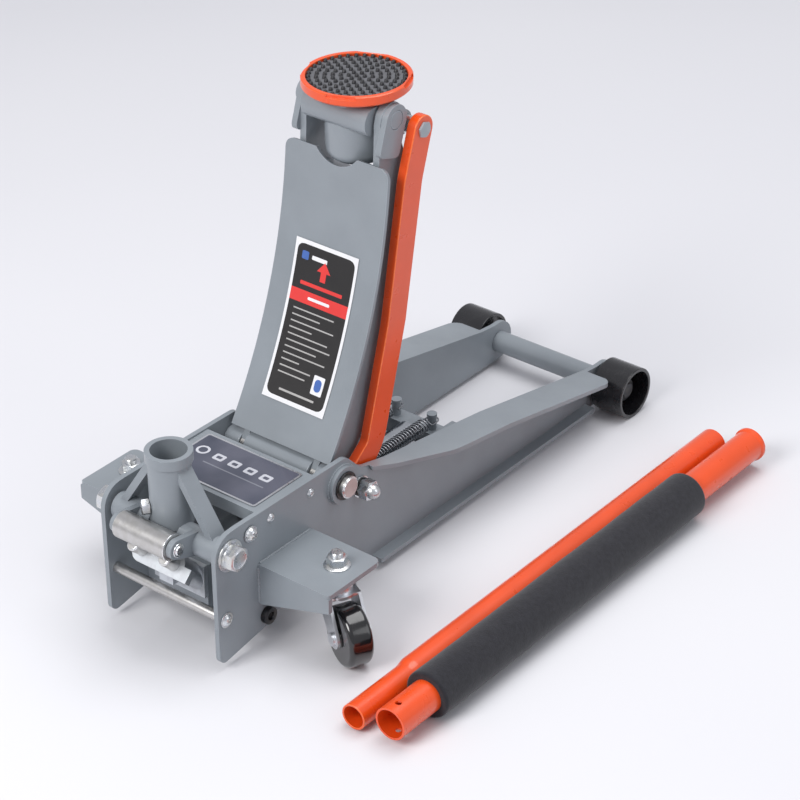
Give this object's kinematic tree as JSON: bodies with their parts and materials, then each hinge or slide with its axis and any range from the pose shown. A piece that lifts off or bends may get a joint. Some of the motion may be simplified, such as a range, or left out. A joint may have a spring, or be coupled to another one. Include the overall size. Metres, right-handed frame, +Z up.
{
  "type": "hydraulic floor jack",
  "caption": "Low wheeled lifting jack with a raised curved arm, round padded saddle, side rails, rear casters, pump unit and a two-piece handle laid beside it.",
  "frame": {"origin": "middle of the whole outline, on the floor", "axes": "+X forward towards the front rollers, +Y towards the left side, +Z up"},
  "size_m": [0.649, 0.4316, 0.468],
  "materials": {
    "arm_decal": "white-bordered sticker with plain colour bands",
    "arm_paint": "satin grey enamel",
    "black_steel": "black satin",
    "caster_plastic": "black gloss",
    "foam": "charcoal foam sleeve",
    "frame_paint": "satin grey enamel",
    "orange_paint": "satin orange-red enamel",
    "plate_label": "slate nameplate with a silver border",
    "rubber": "matte moulded rubber",
    "steel": "machined steel",
    "zinc": "bright zinc plate"
  },
  "bodies": {
    "frame": {"side_plate_left": "frame_paint", "side_plate_right": "frame_paint", "caster_bracket_left": "frame_paint", "caster_bracket_right": "frame_paint", "rear_cover_plate": "frame_paint", "cover_nameplate": "plate_label", "cover_fasteners": "zinc", "rear_tie_rod": "zinc", "front_axle": "zinc", "axle_spacer_tube": "frame_paint", "main_pivot_shaft": "steel", "pivot_clips": "black_steel", "link_anchor_bolt": "zinc", "socket_pivot_bolts": "zinc", "unit_mount_bolts": "black_steel", "caster_kingpins": "zinc", "pump_block": "zinc", "cylinder_base": "frame_paint", "reservoir_tube": "frame_paint", "cylinder_barrel": "frame_paint", "cylinder_gland": "steel", "spring_anchor_plate": "zinc", "filler_plug": "rubber", "valve_plugs": "steel", "return_spring_left": "zinc", "return_spring_right": "zinc", "plunger_springs": "zinc"},
    "release_valve": {"release_valve": "steel"},
    "plungers": {"plunger_rods": "steel"},
    "ram": {"ram_rod": "zinc", "piston_seal": "rubber", "crosshead": "arm_paint", "drag_bars": "arm_paint"},
    "lift_arm": {"arm_cover": "arm_paint", "arm_side_left": "arm_paint", "arm_side_right": "arm_paint", "arm_hub": "arm_paint", "arm_stiffener": "arm_paint", "crank_pins": "steel", "arm_label": "arm_decal", "saddle_pivot_pins": "arm_paint"},
    "link": {"parallel_link": "orange_paint"},
    "bracket": {"saddle_bracket": "arm_paint", "link_top_bolt": "zinc"},
    "saddle": {"saddle": "orange_paint", "saddle_pad": "rubber", "saddle_retainer": "zinc"},
    "socket": {"handle_socket": "arm_paint", "socket_lock_screw": "zinc", "roller_pin": "zinc"},
    "pump_roller": {"pump_roller": "steel"},
    "caster_left": {"caster_fork_left": "zinc"},
    "caster_right": {"caster_fork_right": "zinc"},
    "caster_roll_left": {"caster_wheel_left": "caster_plastic"},
    "caster_roll_right": {"caster_wheel_right": "caster_plastic"},
    "roller_left": {"front_wheel_left": "black_steel"},
    "roller_right": {"front_wheel_right": "black_steel"},
    "handle_lower": {"handle_lower": "orange_paint"},
    "handle_upper": {"handle_upper": "orange_paint", "handle_grip": "foam"}
  },
  "joints": [
    {"name": "arm_lift", "type": "hinge", "parent": "frame", "child": "lift_arm", "pos_m": [-0.126, 0.06283, 0.116], "axis": [0, 1, 0], "range_deg": [0, 80]},
    {"name": "link_swing", "type": "hinge", "parent": "frame", "child": "link", "pos_m": [-0.0995, 0.00453, 0.1], "axis": [0, 1, 0], "range_deg": [0, 80]},
    {"name": "bracket_level", "type": "hinge", "parent": "lift_arm", "child": "bracket", "pos_m": [-0.018, 0.06283, 0.44], "axis": [0, 1, 0], "range_deg": [-80, 0]},
    {"name": "ram_travel", "type": "slide", "parent": "frame", "child": "ram", "axis": [1, 0, 0], "range_m": [-0.0772, 0], "deforming": ["return_spring_left", "return_spring_right"]},
    {"name": "saddle_spin", "type": "hinge", "parent": "bracket", "child": "saddle", "pos_m": [-0.01, 0.06283, 0.44], "axis": [0, 0, 1], "continuous": true},
    {"name": "socket_pump", "type": "hinge", "parent": "frame", "child": "socket", "pos_m": [-0.281, 0.06283, 0.12], "axis": [0, -1, 0], "range_deg": [0, 40]},
    {"name": "plunger_stroke", "type": "slide", "parent": "frame", "child": "plungers", "axis": [-0.7071, 0, 0.7071], "range_m": [-0.0183, 0], "deforming": ["plunger_springs"]},
    {"name": "release_valve_turn", "type": "hinge", "parent": "frame", "child": "release_valve", "pos_m": [-0.281, 0.06283, 0.088], "axis": [0, 0, 1], "range_deg": [0, 90]},
    {"name": "pump_roller_spin", "type": "hinge", "parent": "socket", "child": "pump_roller", "pos_m": [-0.3115, 0.06283, 0.128], "axis": [0, 1, 0], "continuous": true},
    {"name": "caster_swivel_left", "type": "hinge", "parent": "frame", "child": "caster_left", "pos_m": [-0.201, 0.18983, 0.07], "axis": [0, 0, 1], "continuous": true},
    {"name": "caster_swivel_right", "type": "hinge", "parent": "frame", "child": "caster_right", "pos_m": [-0.201, -0.06417, 0.07], "axis": [0, 0, 1], "continuous": true},
    {"name": "caster_spin_left", "type": "hinge", "parent": "caster_left", "child": "caster_roll_left", "pos_m": [-0.21176, 0.16727, 0.0295], "axis": [-0.9026, 0.4305, 0], "continuous": true},
    {"name": "caster_spin_right", "type": "hinge", "parent": "caster_right", "child": "caster_roll_right", "pos_m": [-0.21176, -0.08673, 0.0295], "axis": [-0.9026, 0.4305, 0], "continuous": true},
    {"name": "front_roll_left", "type": "hinge", "parent": "frame", "child": "roller_left", "pos_m": [0.297, 0.15583, 0.0275], "axis": [0, 1, 0], "continuous": true},
    {"name": "front_roll_right", "type": "hinge", "parent": "frame", "child": "roller_right", "pos_m": [0.297, -0.03017, 0.0275], "axis": [0, 1, 0], "continuous": true},
    {"name": "handle_lower_lift", "type": "slide", "parent": "frame", "child": "handle_lower", "axis": [0, 0, 1], "range_m": [0, 0.3]},
    {"name": "handle_upper_lift", "type": "slide", "parent": "frame", "child": "handle_upper", "axis": [0, 0, 1], "range_m": [0, 0.3]}
  ],
  "couplings": [
    {"joint": "link_swing", "follows": "arm_lift", "ratio": 1},
    {"joint": "bracket_level", "follows": "arm_lift", "ratio": -1},
    {"joint": "ram_travel", "follows": "arm_lift", "m_per_rad": -0.055244},
    {"joint": "plunger_stroke", "follows": "socket_pump", "m_per_rad": -0.026}
  ]
}
